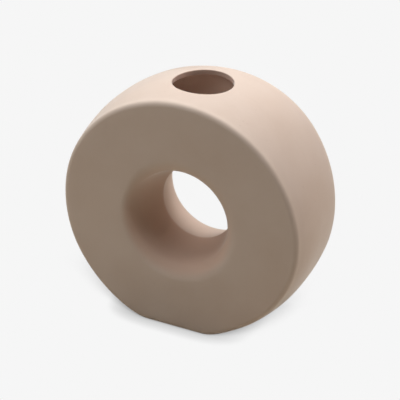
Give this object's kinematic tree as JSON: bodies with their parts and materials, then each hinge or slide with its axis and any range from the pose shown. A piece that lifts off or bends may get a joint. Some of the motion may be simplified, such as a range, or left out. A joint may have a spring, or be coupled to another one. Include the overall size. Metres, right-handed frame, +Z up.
{
  "type": "ring vase",
  "caption": "Ring-shaped stoneware vase: a hollow disc with a flared hole through its middle, a flat foot and a round mouth in the crown for flower stems.",
  "frame": {"origin": "middle of the foot, on the surface that the vase stands on", "axes": "+Z up through the mouth, +Y along the hole from the front face to the rear face, +X to the right seen from the front"},
  "size_m": [0.1998, 0.08, 0.1904],
  "materials": {
    "stoneware": "matt, fine dry grain, warm beige",
    "slip": "matt, fettled flush with the clay"
  },
  "bodies": {
    "root": {"front_half_shell": "stoneware", "rear_half_shell": "stoneware", "outer_seam": "slip", "bore_seam": "slip"}
  },
  "joints": []
}
